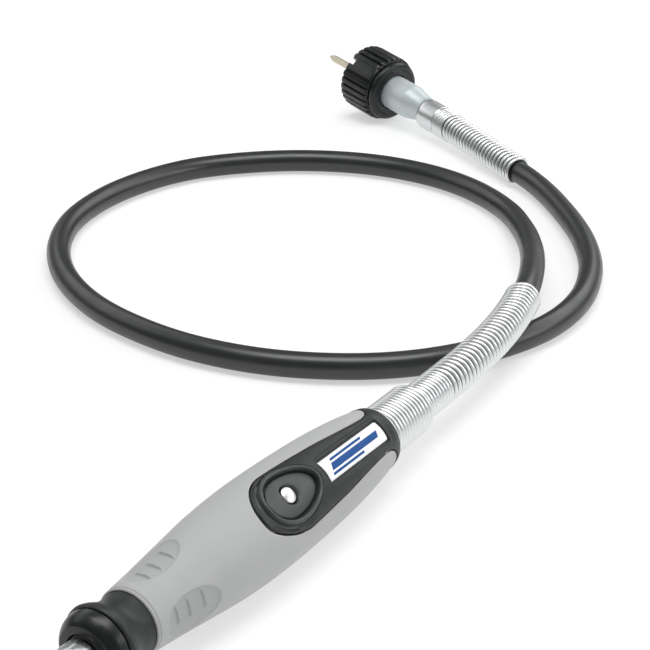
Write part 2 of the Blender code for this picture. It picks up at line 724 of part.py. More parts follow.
def coupling_nut(parts, cutters, axis, looks):
    """Cup with a ribbed wall, a smooth rear flange, a plain window and a front notch."""
    wall = NUT_ROOT - 0.1
    nut = turned("coupling_nut", [
        (NUT_FRONT, wall - 0.5), (NUT_FRONT - 0.6, wall), (RIBS_REAR, wall),
        (RIBS_REAR, 13.3), (RIBS_REAR - 0.7, 13.3), (RIBS_REAR - 0.7, 14.1),
        (NUT_REAR + 0.9, 13.9), (NUT_REAR, 12.9), (NUT_REAR, NUT_PASSAGE),
        (NUT_WEB, NUT_PASSAGE), (NUT_WEB, NUT_BORE), (NUT_FRONT, NUT_BORE),
    ], parts, axis, looks["black"], 40)
    ribs_length = NUT_FRONT - 0.6 - RIBS_REAR - 0.6
    ribs = as_cutter(prism("nut_ribs", [ribbed_ring()], ribs_length, cutters, axis))
    ribs.matrix_basis = Matrix.Translation((0, 0, (NUT_FRONT + RIBS_REAR) / 2 * MM))
    hollow = as_cutter(cylinder("nut_hollow", (NUT_BORE + NUT_ROOT) / 2, 30, cutters, axis,
                                sides=40))
    hollow.matrix_basis = Matrix.Translation((0, 0, NUT_FRONT * MM / 2))
    boolean(ribs, hollow, "DIFFERENCE")
    # The window is a plain arc of the wall, two ribs wide. The notch opens at its front edge.
    window = as_cutter(box("nut_window", (4, WINDOW_WIDTH, 2 * NUT_FRONT), cutters, axis))
    window.matrix_basis = Matrix.Rotation(WINDOW_TURN, 4, "Z") @ Matrix.Translation(
        ((NUT_ROOT + 1.75) * MM, 0, NUT_FRONT * MM / 2))
    boolean(ribs, window, "DIFFERENCE")
    boolean(nut, ribs, "UNION")
    notch = as_cutter(box("nut_notch", (8, NOTCH_SIZE[0], 2 * NOTCH_SIZE[1]), cutters, axis))
    notch.matrix_basis = Matrix.Rotation(NOTCH_TURN, 4, "Z") @ Matrix.Translation(
        ((NUT_BORE + 2) * MM, 0, NUT_FRONT * MM))
    boolean(nut, notch, "DIFFERENCE")
    return nut


def drive_core(parts, cutters, axis, looks):
    """Core of the shaft at the coupling: a round end in the ferrule, a square pointed tip."""
    core = turned("drive_core_tip", [
        (12, 0), (12, CORE_RADIUS), (-24.4, CORE_RADIUS), (-24.4, 0),
    ], parts, axis, looks["core"], 16)
    tip = turned("core_tip_square", [
        (CORE_TIP, 0), (CORE_TIP, 0.8), (CORE_TIP - 3, 1.85), (11, 1.85), (11, 0),
    ], cutters, axis, sides=4)
    trim = as_cutter(cylinder("core_tip_round", 1.7, 80, cutters, axis, sides=16))
    boolean(tip, trim, "INTERSECT")
    boolean(core, as_cutter(tip), "UNION")
    turned("core_stop_collar", [(-5, 2.85), (-9, 2.85), (-9, 1.8), (-5, 1.8)], parts, axis,
           looks["brass"], 20)


def shade(parts):
    for item in parts.objects:
        if item.type == "MESH":
            item.data.shade_smooth()
            item.data.set_sharp_from_angle(angle=math.radians(35))


def build():
    remove_everything()
    parts = make_collection("flex_shaft_attachment")
    cutters = make_collection("cutters")
    looks = {
        "grip": material("grip_grey", (0.46, 0.47, 0.47), 0.55),
        "pad": material("pad_dark_grey", (0.09, 0.10, 0.10), 0.6),
        "black": material("black_nylon", (0.02, 0.022, 0.024), 0.45),
        "label": material("label_white", (0.85, 0.85, 0.86), 0.4),
        "metal": material("aluminium", (0.6, 0.61, 0.62), 0.4, 1.0),
        "steel": material("bright_steel", (0.75, 0.76, 0.77), 0.25, 1.0),
        "zinc": material("satin_zinc", (0.56, 0.62, 0.65), 0.4, 0.8),
        "brass": material("brass", (0.72, 0.55, 0.28), 0.35, 1.0),
        "core": material("core_steel", (0.62, 0.55, 0.42), 0.4, 0.9),
        "casing": material("casing_rubber", (0.03, 0.035, 0.037), 0.45),
        "felt": material("seal_felt", (0.12, 0.11, 0.10), 0.9),
    }
    axis = empty("handpiece_axis", parts, (
        Matrix.Translation((0, 0, AXIS_HEIGHT * MM))
        @ Matrix.Rotation(PAD_ROLL, 4, "X")
        @ Matrix.Rotation(-math.pi / 2, 4, "Y")
    ))
    grip_shell(parts, cutters, axis, looks)
    thumb_pad(parts, cutters, axis, looks)
    label_plate(parts, cutters, axis, looks)
    barrel(parts, cutters, axis, looks)
    nose(parts, axis, looks)
    bearing("front_bearing", FRONT_BEARING, 4.25, 8.0, parts, cutters, axis, looks)
    bearing("rear_bearing", REAR_BEARING, 3.0, 7.5, parts, cutters, axis, looks)
    spindle(parts, cutters, axis, looks)
    collet_and_nut(parts, cutters, axis, looks)
    drive_end(parts, cutters, axis, looks)
    guide = lock_button(parts, axis, looks)
    lock_spring(parts, guide, looks)
    preload_spring(parts, axis, looks)
    rear_sleeve(parts, axis, looks)
    casing_and_springs(parts, looks)
    coupling = coupling_axis(parts)
    ferrule(parts, coupling, looks)
    coupling_nut(parts, cutters, coupling, looks)
    drive_core(parts, cutters, coupling, looks)
    shade(parts)


build()
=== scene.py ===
"""Looks of a flexible-shaft attachment for a rotary tool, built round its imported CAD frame.

Lengths in the tables are in millimetres and are scaled by MM where geometry is made. A station is
a distance along the handpiece, from the front of its inner barrel towards the rear, as in the CAD.
A turn is an angle round the handpiece's axis, counted from the middle of the thumb pad.
"""
import json
import math

import bmesh
import bpy
import numpy as np
from mathutils import Matrix, Vector

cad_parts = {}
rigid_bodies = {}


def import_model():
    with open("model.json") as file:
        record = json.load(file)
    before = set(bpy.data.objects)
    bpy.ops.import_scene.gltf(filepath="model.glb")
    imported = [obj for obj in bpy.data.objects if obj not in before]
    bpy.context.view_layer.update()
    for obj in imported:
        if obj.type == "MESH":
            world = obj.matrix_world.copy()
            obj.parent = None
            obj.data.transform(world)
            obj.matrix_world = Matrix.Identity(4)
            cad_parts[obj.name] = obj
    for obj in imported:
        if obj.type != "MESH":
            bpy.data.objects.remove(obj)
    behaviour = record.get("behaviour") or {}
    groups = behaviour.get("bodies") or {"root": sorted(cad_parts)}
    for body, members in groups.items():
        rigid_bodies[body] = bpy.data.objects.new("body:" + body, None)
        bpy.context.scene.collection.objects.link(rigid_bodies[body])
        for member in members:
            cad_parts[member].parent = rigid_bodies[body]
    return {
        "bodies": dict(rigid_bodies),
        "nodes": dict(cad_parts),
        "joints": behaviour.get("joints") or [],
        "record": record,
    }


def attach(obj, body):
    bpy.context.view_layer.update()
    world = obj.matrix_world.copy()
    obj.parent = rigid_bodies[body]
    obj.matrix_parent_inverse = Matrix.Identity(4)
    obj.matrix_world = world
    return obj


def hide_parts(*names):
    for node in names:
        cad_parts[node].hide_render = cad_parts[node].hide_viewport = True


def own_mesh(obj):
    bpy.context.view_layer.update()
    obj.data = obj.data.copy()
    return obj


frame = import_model()

MM = 0.001

# Camera: where it stands and how it looks at the object.
CAMERA_PLACE = (-0.3877, -0.2779, 0.3024)
CAMERA_HEADING = math.radians(33.05)
CAMERA_DROP = math.radians(25)
CAMERA_LENS = 106.95

# Lights: name, place, size and power, all turned to the floor's middle. Then the surround's
# brightness low down and high up, where it rises between them, and the floor's looks and size.
LIGHTS = (
    ("overhead", (0.074, 0.018, 1.3), (1.15, 0.65), 12.0),
    ("back_bank", (1.354, -0.32, 0.86), (1.8, 0.8), 9.0),
    ("left_bank", (0.30, 1.15, 0.78), (1.5, 0.6), 3.3),
    ("right_bank", (0.5, -1.1, 0.55), (0.9, 0.5), 4.0),
)
WORLD_LOW = 0.12
WORLD_HIGH = 0.27
WORLD_RISE = (0.04, 0.35)
FLOOR_GLOW = 0.52
FLOOR_WHITE = 0.5
FLOOR_REACH = 6.0
FLOOR_MIDDLE = (0.2, 0.1)
FLOOR_DROP = 0.0004

# Plated wire and rings: how far their roughness ranges about its mean.
EVEN = (0.93, 1.1)

# Handpiece: its lie, and the key points of the grip's outer side as (station, radius).
MID_STATION = 54.5
PAD_ROLL = math.radians(42)
GRIP_KEYS = (
    (-1.5, 10.1), (10, 11.2), (22, 12.55), (38, 14.25), (55, 15.0),
    (75, 14.7), (94, 13.75), (108, 12.35), (117.2, 10.95), (121.3, 10.2),
)
SHELL_ENDS = (-1.5, 119.0)
COLLAR = (118.9, 121.3)
COLLAR_PASSAGE = 8.75
COLLAR_LIP = 0.55
SEAM = 0.35
PAD_PROUD = 0.15

# Thickness of the skins' walls, inwards.
GRIP_WALL = 1.5
PAD_WALL = 1.2
DISH_WALL = 0.5
LABEL_WALL = 0.5
STRIPE_WALL = 0.03

# Pad: its front is half an ellipse about a station, its sides are (station, half width), and the
# trim takes a little off its lower side's front. Then the depths of its hollows and its raised edge.
PAD_FRONT = 46.5
PAD_MID = 60.0
PAD_HALF = 10.3
PAD_SIDES = (
    (60, 10.3), (66, 10.1), (74, 9.6), (86, 8.7), (99, 7.3), (105, 6.75), (111.5, 6.35),
    (114.5, 6.6), (116.5, 7.2), (118, 8.2), (119, 9.4),
)
PAD_TRIM = ((46.9, 0), (50, 0.95), (54, 1.2), (58.2, 0.85), (63.5, 0.05), (64, 0))
WELL_DEPTH = 2.6
MOAT_DEPTH = 0.9
TROUGH_DEPTH = 0.5
TROUGH_EDGE = 0.2

# Thumb dish and lock button: centres, half axes of the groove round the dish, cap and hole.
DISH_CENTRE = 63.3
DISH_ASIDE = 0.95
DISH_SEMI = (11.7, 7.2)
DISH_TILT = 0.03
BUTTON_STATION = 62.3
BUTTON_ASIDE = 1.1
BUTTON_RADIUS = 2.6
BUTTON_TOP = 14.25
HOLE_RADIUS = 3.15

# Collet nut: half its width across the flats.
HEX_HALF = 5.5

# Coil under the button's cap: its span out from the grip's axis, and its shape.
RETURN_SPRING = (9.35, 11.6)
RETURN_RADIUS = 2.1
RETURN_WIRE = 0.2
RETURN_TURNS = 2.5
RETURN_POINTS = 91

# Label: its ends, half widths there, and the rounding of its rear corners.
LABEL = (79.1, 114.1)
LABEL_HALF = (3.5, 3.45)
LABEL_CORNER = 0.7

# Stripes on the label: start, end, middle's width from the label's centre line, half width.
STRIPES = ((83.0, 110.5, 0.0, 1.05), (83.0, 101.0, 2.05, 0.38), (83.0, 101.0, -2.05, 0.38))
STRIPE_LEAN = 0.6
STRIPE_PROUD = 0.035

# Finger dimples at the front of the grip: their turns, middle, half axes, depth and the small step
# at their edge, the share of them painted darker as painted shade, with its own grain, and the
# stations and shape of their ribs.
DIMPLE_TURNS = (57, -49, 180)
DIMPLE_MID = 12.5
DIMPLE_SEMI = (10.6, 6.4)
DIMPLE_DEPTH = 0.8
DIMPLE_STEP = 0.11
DIMPLE_SHADE_SHARE = 0.985
DIMPLE_RIBS = (6.9, 11.7, 17.3)
DIMPLE_RIB_HEIGHT = 0.6
DIMPLE_RIB_WIDTH = 0.30
DIMPLE_RIB_LEAN = 0.1
DIMPLE_RIB_MIDDLE = 1.9
DIMPLE_RIB_FADE = (4.1, 1.9)

# Casing: diameter, and its centre line from the handpiece to the coupling.
CASING_DIAMETER = 9.5
CASING_ROUTE = (
    (58, 0, 15.0), (80, 0, 15.1), (104, 0, 15.5), (128, 0.4, 15.9), (150, 2.1, 16.3),
    (171, 5.7, 16.6), (191, 11.1, 16.8), (213, 20.2, 14.5), (241, 34.8, 9.8), (265, 51, 6.4),
    (283, 68, 5.0), (296, 90, 4.8), (302, 113, 4.8), (301, 139, 4.8), (292, 165, 4.8),
    (275, 189, 4.8), (249, 209.5, 4.8), (214, 218.2, 4.8), (179, 214, 4.8), (152, 200, 4.8),
    (130, 178.3, 4.8), (114, 150, 4.8), (106.5, 119, 4.8), (106, 93, 4.8), (112.3, 65.7, 4.8),
    (126.8, 39.1, 4.8), (144, 21.6, 4.8), (166, 8.6, 4.8), (190, 1.4, 4.8), (216, 1.7, 4.8),
    (244, 10.4, 4.8), (271, 26.6, 4.8), (300, 52.5, 4.8), (317.6, 73.0, 5.25), (329.6, 94.4, 6.75),
    (345.4, 121.5, 8.1), (357.6, 144.6, 9.4), (359.7, 151.3, 10.3),
)

# Springs: wire half height, its greatest half width and that as a share of the pitch, how a wire's
# end swells to full size, points in a turn and round the wire, how fast the coil's radius eases to
# its section's, start along the casing, and sections of (turns, pitch, radius of its centre).
WIRE_DEPTH = 0.72
WIRE_WIDTH = 0.91
WIRE_SHARE = 0.46
WIRE_END = (0.001, 0.8, 0.97)
TURN_POINTS = 44
SECTION_POINTS = 14
RADIUS_EASE = 0.045
HAND_SPRING_START = 9.8
HAND_SPRING_TURNS = ((12.7, 1.72, 8.0), (9.8, 1.72, 5.95), (31.4, 2.5, 5.95))
COUPLING_SPRING_START = 11.0
COUPLING_SPRING_TURNS = ((5.1, 1.72, 6.25), (22, 2.55, 5.78))

# Coupling: a point on its axis inside the nut's rear web, the direction towards the tip, the nut's
# heights and radii, the casing's sag in the crimp ring, and the core's tip, how far its corners
# reach against its flats, and the radius that closes its ends.
COUPLING_CENTRE = (367.2, 175.8, 15.2)
COUPLING_HEADING = math.radians(73)
COUPLING_RISE = math.radians(8)
NUT_REAR = -2.5
NUT_FRONT = 19.6
RIBS_REAR = 0.9
NUT_RADIUS = 15.5
NUT_ROOT = 14.45
NUT_BORE = 11.5
NUT_PASSAGE = 8.4
NUT_FLOOR = 3.6
NUT_SHOULDER = 13.75
NUT_RIBS = 28
WINDOW_TURN = 42.0
WINDOW_SPAN = 13.0
NOTCH_TURN = 46.0
NOTCH_SPAN = 6.4
NOTCH_DEPTH = 2.8
CRIMP_SAG = 1.2
CORE_TIP = 45.0
CORE_CORNER = 1.17
POINT_RADIUS = 0.0005


# --- Frames, curves and meshes ---


def smooth_through(keys, spacing):
    """Points at even spacing on a centripetal Catmull-Rom curve through the keys."""
    keys = np.array(keys, float)
    ends = 2 * keys[0] - keys[1], 2 * keys[-1] - keys[-2]
    padded = np.vstack([ends[0], keys, ends[1]])
    knots = np.cumsum(np.r_[0, np.linalg.norm(np.diff(padded, axis=0), axis=1) ** 0.5])
    fine = []
    for i in range(1, len(padded) - 2):
        for t in np.linspace(knots[i], knots[i + 1], 24, endpoint=False):
            fine.append(catmull_point(padded[i - 1:i + 3], knots[i - 1:i + 3], t))
    fine.append(keys[-1])
    fine = np.array(fine)
    arc = np.r_[0, np.cumsum(np.linalg.norm(np.diff(fine, axis=0), axis=1))]
    count = max(2, round(arc[-1] / spacing) + 1)
    even = np.linspace(0, arc[-1], count)
    return np.stack([np.interp(even, arc, fine[:, k]) for k in range(fine.shape[1])], axis=1)


def catmull_point(p, k, t):
    """Point at knot value t on one stretch, from its four points and four knot values."""
    level = [p[i] + (p[i + 1] - p[i]) * (t - k[i]) / (k[i + 1] - k[i]) for i in range(3)]
    level = [
        level[i] + (level[i + 1] - level[i]) * (t - k[i]) / (k[i + 2] - k[i]) for i in range(2)
    ]
    return level[0] + (level[1] - level[0]) * (t - k[1]) / (k[2] - k[1])


def smoothstep(low, high, value):
    t = np.clip((value - low) / (high - low), 0, 1)
    return t * t * (3 - 2 * t)


def handpiece_frame():
    """Local +Z to the nose, +X out through the middle of the pad, origin at the middle."""
    return (
        Matrix.Translation((0, 0, 15 * MM)) @ Matrix.Rotation(PAD_ROLL, 4, "X")
        @ Matrix.Rotation(-math.pi / 2, 4, "Y")
    )


def coupling_frame():
    """Local +Z to the drive tip, +Y upwards, origin at the middle of the nut's rear face."""
    flat = math.cos(COUPLING_RISE)
    along = Vector((
        flat * math.cos(COUPLING_HEADING), flat * math.sin(COUPLING_HEADING),
        math.sin(COUPLING_RISE),
    ))
    turn = along.to_track_quat("Z", "Y").to_matrix().to_4x4()
    return Matrix.Translation([c * MM for c in COUPLING_CENTRE]) @ turn


HAND = handpiece_frame()
COUPLING = coupling_frame()


def grid_mesh(name, points, look, close_columns=False, close_rows=False, frame=None, drop=None,
              paint=None):
    """Smooth mesh from a grid of points in millimetres, rows by columns by 3."""
    rows, columns = points.shape[:2]
    flat = points.reshape(-1, 3)
    if frame is not None:
        turn = np.array(frame.to_3x3())
        flat = flat @ turn.T + np.array(frame.translation) / MM
    last_row = rows if close_rows else rows - 1
    last_column = columns if close_columns else columns - 1
    i, j = np.meshgrid(np.arange(last_row), np.arange(last_column), indexing="ij")
    down, right = (i + 1) % rows, (j + 1) % columns
    faces = np.stack([
        i * columns + j, i * columns + right, down * columns + right, down * columns + j,
    ], axis=-1).reshape(-1, 4)
    if drop is not None:
        faces = faces[~drop.reshape(-1)[faces].any(axis=1)]
    mesh = bpy.data.meshes.new(name)
    mesh.from_pydata((flat * MM).tolist(), [], faces.tolist())
    if paint is not None:
        second = paint.reshape(-1)[faces].all(axis=1).astype(np.int32)
        mesh.polygons.foreach_set("material_index", second)
    shape = bmesh.new()
    shape.from_mesh(mesh)
    bmesh.ops.remove_doubles(shape, verts=shape.verts, dist=0.000002)
    loose = [v for v in shape.verts if not v.link_faces]
    bmesh.ops.delete(shape, geom=loose, context="VERTS")
    bmesh.ops.recalc_face_normals(shape, faces=shape.faces)
    shape.to_mesh(mesh)
    shape.free()
    return finish_mesh(name, mesh, look)


def finish_mesh(name, mesh, look, sharp=38):
    mesh.shade_smooth()
    mesh.set_sharp_from_angle(angle=math.radians(sharp))
    mesh.materials.append(look)
    made = bpy.data.objects.new(name, mesh)
    bpy.context.scene.collection.objects.link(made)
    return made


def turned_row(reach, turns, height):
    """Points round the local Z at one height, at one reach or a reach for each turn."""
    return np.stack([
        reach * np.cos(turns), reach * np.sin(turns), np.full(turns.size, height),
    ], axis=-1)


def lathe(name, profile, look, frame, sides=128):
    """Turned body from (height, radius) points along the frame's Z."""
    turns = np.linspace(0, 2 * math.pi, sides, endpoint=False)
    points = np.array([turned_row(radius, turns, height) for height, radius in profile])
    return grid_mesh(name, points, look, close_columns=True, close_rows=True, frame=frame)


def by_station(profile):
    return [(MID_STATION - s, r) for s, r in profile]


def solid_shell(item, thickness):
    """Gives an open skin its wall, inwards."""
    wall = item.modifiers.new("wall", "SOLIDIFY")
    wall.thickness = thickness * MM
    wall.offset = -1
    wall.use_even_offset = False
    return item


def wire(name, points, radius, look, resolution):
    curve = bpy.data.curves.new(name, "CURVE")
    curve.dimensions = "3D"
    curve.bevel_depth = radius * MM
    curve.bevel_resolution = resolution
    curve.use_fill_caps = True
    spline = curve.splines.new("POLY")
    spline.points.add(len(points) - 1)
    for point, place in zip(spline.points, points):
        point.co = (*(float(c) * MM for c in place), 1)
    curve.materials.append(look)
    made = bpy.data.objects.new(name, curve)
    bpy.context.scene.collection.objects.link(made)
    return made


# --- Materials ---


def node_input(shader, name, value):
    shader.inputs[name].default_value = value


def base_material(name, colour, roughness, metallic=0.0, specular=0.5):
    made = bpy.data.materials.new(name)
    made.use_nodes = True
    shader = made.node_tree.nodes["Principled BSDF"]
    node_input(shader, "Base Color", (*colour, 1))
    node_input(shader, "Roughness", roughness)
    node_input(shader, "Metallic", metallic)
    node_input(shader, "Specular IOR Level", specular)
    return made, made.node_tree, shader


def noise(tree, scale, detail=4.0, stretch=None):
    """Noise on object coordinates in metres, so that its grain has a real size."""
    place = tree.nodes.new("ShaderNodeTexCoord")
    source = place.outputs["Object"]
    if stretch:
        mapping = tree.nodes.new("ShaderNodeMapping")
        mapping.inputs["Scale"].default_value = stretch
        tree.links.new(source, mapping.inputs["Vector"])
        source = mapping.outputs["Vector"]
    made = tree.nodes.new("ShaderNodeTexNoise")
    made.inputs["Scale"].default_value = scale
    made.inputs["Detail"].default_value = detail
    tree.links.new(source, made.inputs["Vector"])
    return made.outputs["Fac"]


def ramp(tree, source, low, high):
    """The source's range from 0.3 to 0.7 mapped on to low to high."""
    made = tree.nodes.new("ShaderNodeMapRange")
    made.inputs["From Min"].default_value = 0.3
    made.inputs["From Max"].default_value = 0.7
    made.inputs["To Min"].default_value = low
    made.inputs["To Max"].default_value = high
    tree.links.new(source, made.inputs["Value"])
    return made.outputs["Result"]


def tinted(tree, shader, colour, source, spread):
    """Varies the base colour's brightness with the source."""
    mix = tree.nodes.new("ShaderNodeMix")
    mix.data_type = "RGBA"
    mix.inputs["A"].default_value = (*(c * (1 - spread) for c in colour), 1)
    mix.inputs["B"].default_value = (*(min(1, c * (1 + spread)) for c in colour), 1)
    tree.links.new(source, mix.inputs["Factor"])
    tree.links.new(mix.outputs["Result"], shader.inputs["Base Color"])
    return mix.outputs["Result"]


def bumped(tree, shader, source, strength, distance, before=None):
    bump = tree.nodes.new("ShaderNodeBump")
    bump.inputs["Strength"].default_value = strength
    bump.inputs["Distance"].default_value = distance
    tree.links.new(source, bump.inputs["Height"])
    if before is not None:
        tree.links.new(before, bump.inputs["Normal"])
    tree.links.new(bump.outputs["Normal"], shader.inputs["Normal"])
    return bump.outputs["Normal"]


def highlit_edges(tree, shader, colour_output, highlight_tone, amount):
    """Lightens convex edges a little: a painted highlight along crests and rib tops."""
    geometry = tree.nodes.new("ShaderNodeNewGeometry")
    edge = tree.nodes.new("ShaderNodeMapRange")
    edge.inputs["From Min"].default_value = 0.52
    edge.inputs["From Max"].default_value = 0.60
    edge.inputs["To Max"].default_value = amount
    tree.links.new(geometry.outputs["Pointiness"], edge.inputs["Value"])
    mix = tree.nodes.new("ShaderNodeMix")
    mix.data_type = "RGBA"
    tree.links.new(colour_output, mix.inputs["A"])
    mix.inputs["B"].default_value = (*highlight_tone, 1)
    tree.links.new(edge.outputs["Result"], mix.inputs["Factor"])
    tree.links.new(mix.outputs["Result"], shader.inputs["Base Color"])


def plastic(name, colour, roughness, grain=1600, strength=0.25, specular=0.4, edge_highlight=0.0):
    """Moulded plastic: spark-eroded grain, faint mottling and painted highlights on convex edges."""
    made, tree, shader = base_material(name, colour, roughness, specular=specular)
    mottle = noise(tree, 90, 3)
    result = tinted(tree, shader, colour, mottle, 0.035)
    if edge_highlight:
        highlit_edges(tree, shader, result, [min(1, c * 1.8 + 0.03) for c in colour], edge_highlight)
    rough = ramp(tree, noise(tree, 260, 5), roughness - 0.06, roughness + 0.08)
    tree.links.new(rough, shader.inputs["Roughness"])
    coarse = bumped(tree, shader, noise(tree, grain / 5, 2), strength * 0.4, 0.0001)
    bumped(tree, shader, noise(tree, grain, 3), strength, 0.00005, coarse)
    return made


def metal(name, colour, roughness, metallic=1.0, stretch=(1, 1, 1), scratch=0.12, spread=0.05,
          polish=(0.75, 1.35)):
    """Metal with fine drawn or turned lines, uneven polish and light scratches."""
    made, tree, shader = base_material(name, colour, roughness, metallic)
    lines = noise(tree, 900, 6, stretch)
    tinted(tree, shader, colour, noise(tree, 150, 4), spread)
    rough = ramp(tree, lines, roughness * polish[0], roughness * polish[1])
    tree.links.new(rough, shader.inputs["Roughness"])
    bumped(tree, shader, lines, scratch, 0.00004)
    return made


def sheath_material():
    """Casing's sheath: satin extruded rubber with faint scuffs and lengthwise unevenness."""
    colour = (0.0065, 0.0075, 0.0080)
    made, tree, shader = base_material("casing_sheath", colour, 0.35, specular=0.75)
    scuffs = noise(tree, 60, 8)
    tinted(tree, shader, colour, scuffs, 0.3)
    rough = ramp(tree, noise(tree, 90, 5), 0.32, 0.40)
    tree.links.new(rough, shader.inputs["Roughness"])
    coarse = bumped(tree, shader, noise(tree, 30, 1), 0.06, 0.0003)
    bumped(tree, shader, noise(tree, 1800, 3), 0.08, 0.00004, coarse)
    return made


def make_looks():
    return {
        "grip": plastic("grip_grey", (0.42, 0.424, 0.424), 0.55, 2200, 0.22, 0.35),
        # The dimples' grey is the grip's grey made darker: painted shade in the hollows, with its own
        # grain.
        "dimple": plastic("grip_dimple_painted_shade", (0.392, 0.396, 0.396), 0.60, 1500, 0.35, 0.3),
        # The pad, dish and black nylon take a last number that lightens their convex edges as a painted
        # highlight.
        "pad": plastic("pad_dark_grey", (0.012, 0.0145, 0.0145), 0.46, 1500, 0.40, 0.42, 0.10),
        # Dish: the pad's dark plastic made lighter, as painted light where the dish faces the lamps.
        "dish": plastic("dish_painted_light_grey", (0.032, 0.0355, 0.0355), 0.44, 1900, 0.30, 0.6, 0.15),
        "black": plastic("black_nylon", (0.0045, 0.0058, 0.0062), 0.31, 2000, 0.22, 0.42, 0.2),
        "label": plastic("label_white", (0.88, 0.885, 0.89), 0.45, 900, 0.05, 0.35),
        "stripe": plastic("label_blue", (0.003, 0.070, 0.27), 0.50, 900, 0.05, 0.25),
        "spring": metal("spring_wire", (0.73, 0.74, 0.745), 0.36, 1.0, (1, 1, 1), 0.015, 0.03, EVEN),
        "crimp": metal("crimp_plate", (0.68, 0.69, 0.695), 0.34, 1.0, (1, 1, 1), 0.01, 0.02, EVEN),
        "steel": metal("ground_steel", (0.62, 0.63, 0.64), 0.27, 1.0, (0.1, 1, 1)),
        "alu": metal("turned_aluminium", (0.72, 0.73, 0.74), 0.36, 1.0, (6, 1, 1)),
        "zinc": metal("satin_zinc", (0.54, 0.59, 0.605), 0.42, 0.4, (1, 4, 1), 0.04, 0.02),
        "brass": metal("turned_brass", (0.70, 0.52, 0.24), 0.32, 1.0, (6, 1, 1)),
        "core": metal("core_steel", (0.62, 0.57, 0.44), 0.40, 0.7, (1, 5, 1), 0.12, 0.08),
        "polished": metal("polished_steel", (0.95, 0.955, 0.96), 0.34, 1.0, (1, 1, 1), 0.02, 0.02),
        "felt": plastic("seal_felt", (0.10, 0.095, 0.085), 0.92, 3000, 0.8, 0.1),
        "sheath": sheath_material(),
    }


# --- Stage ---


def make_camera():
    data = bpy.data.cameras.new("camera")
    data.lens = CAMERA_LENS
    data.sensor_width = 36
    made = bpy.data.objects.new("camera", data)
    bpy.context.scene.collection.objects.link(made)
    made.location = CAMERA_PLACE
    made.rotation_euler = (math.pi / 2 - CAMERA_DROP, 0, CAMERA_HEADING - math.pi / 2)
    bpy.context.scene.camera = made


def area_light(name, place, target, size, power):
    data = bpy.data.lights.new(name, "AREA")
    data.shape = "RECTANGLE"
    data.size, data.size_y = size
    data.energy = power
    made = bpy.data.objects.new(name, data)
    bpy.context.scene.collection.objects.link(made)
    made.location = place
    made.rotation_euler = (Vector(target) - Vector(place)).to_track_quat("-Z", "Y").to_euler()


def make_world():
    """Studio surround: grey round the horizon, brighter overhead."""
    world = bpy.data.worlds.new("studio")
    bpy.context.scene.world = world
    world.use_nodes = True
    tree = world.node_tree
    place = tree.nodes.new("ShaderNodeTexCoord")
    split = tree.nodes.new("ShaderNodeSeparateXYZ")
    tree.links.new(place.outputs["Generated"], split.inputs["Vector"])
    tone = tree.nodes.new("ShaderNodeMapRange")
    tone.interpolation_type = "SMOOTHSTEP"
    tone.inputs["From Min"].default_value = WORLD_RISE[0]
    tone.inputs["From Max"].default_value = WORLD_RISE[1]
    tone.inputs["To Min"].default_value = WORLD_LOW
    tone.inputs["To Max"].default_value = WORLD_HIGH
    tree.links.new(split.outputs["Z"], tone.inputs["Value"])
    tree.links.new(tone.outputs["Result"], tree.nodes["Background"].inputs["Strength"])
    tree.nodes["Background"].inputs["Color"].default_value = (0.98, 0.99, 1, 1)


def make_stage():
    make_world()
    bpy.context.scene.view_settings.view_transform = "Standard"
    mesh = bpy.data.meshes.new("floor")
    corners = [(FLOOR_REACH * x, FLOOR_REACH * y, 0) for x, y in ((-1, -1), (1, -1), (1, 1), (-1, 1))]
    mesh.from_pydata(corners, [], [(0, 1, 2, 3)])
    look, _, shader = base_material("floor_white", [FLOOR_WHITE] * 3, 0.9, specular=0.1)
    node_input(shader, "Emission Color", (1, 1, 1, 1))
    node_input(shader, "Emission Strength", FLOOR_GLOW)
    mesh.materials.append(look)
    floor = bpy.data.objects.new("floor", mesh)
    bpy.context.scene.collection.objects.link(floor)
    floor.location = (*FLOOR_MIDDLE, -FLOOR_DROP)
    for name, place, size, power in LIGHTS:
        area_light(name, place, (*FLOOR_MIDDLE, 0), size, power)


# --- Grip, pad and label ---


GRIP_LINE = smooth_through(GRIP_KEYS, 0.5)


def grip_radius(station):
    return np.interp(station, GRIP_LINE[:, 0], GRIP_LINE[:, 1])


def pad_half_width(station, margin=0.0, lower=False):
    """Half width of the pad's outline at a station, moved out by a margin.

    The lower side's front is rounder than the upper side's.
    """
    station = np.asarray(station, float)
    reach = PAD_MID - PAD_FRONT + margin
    inner = np.clip(1 - ((PAD_MID - station) / reach) ** 2, 0, None)
    front = (PAD_HALF + margin) * np.sqrt(inner)
    sides = np.interp(station, *np.array(PAD_SIDES, float).T) + margin
    half = np.where(station < PAD_MID, front, sides)
    if lower:
        half = np.maximum(half - np.interp(station, *np.array(PAD_TRIM, float).T), 0.2 * half)
    return half


def outline_points(margin, lower):
    """One side of the pad's outline as (station, arc) points, with its arc on the skin."""
    reach = PAD_MID - PAD_FRONT + margin
    front = PAD_MID - reach * np.cos(np.linspace(0, math.pi / 2, 90))
    stations = np.r_[front, np.linspace(PAD_MID, SHELL_ENDS[1], 120)]
    radius = grip_radius(stations)
    turn = np.arcsin(np.clip(pad_half_width(stations, margin, lower) / radius, -1, 1))
    return np.stack([stations, turn * radius * (-1 if lower else 1)], axis=1)


def seam_distance(margin, stations, arcs):
    """Distance from each point of the skin to the pad's outline moved out by a margin."""
    sides = [outline_points(margin, lower) for lower in (False, True)]
    return np.minimum(*(distance_to(side, stations, arcs) for side in sides))


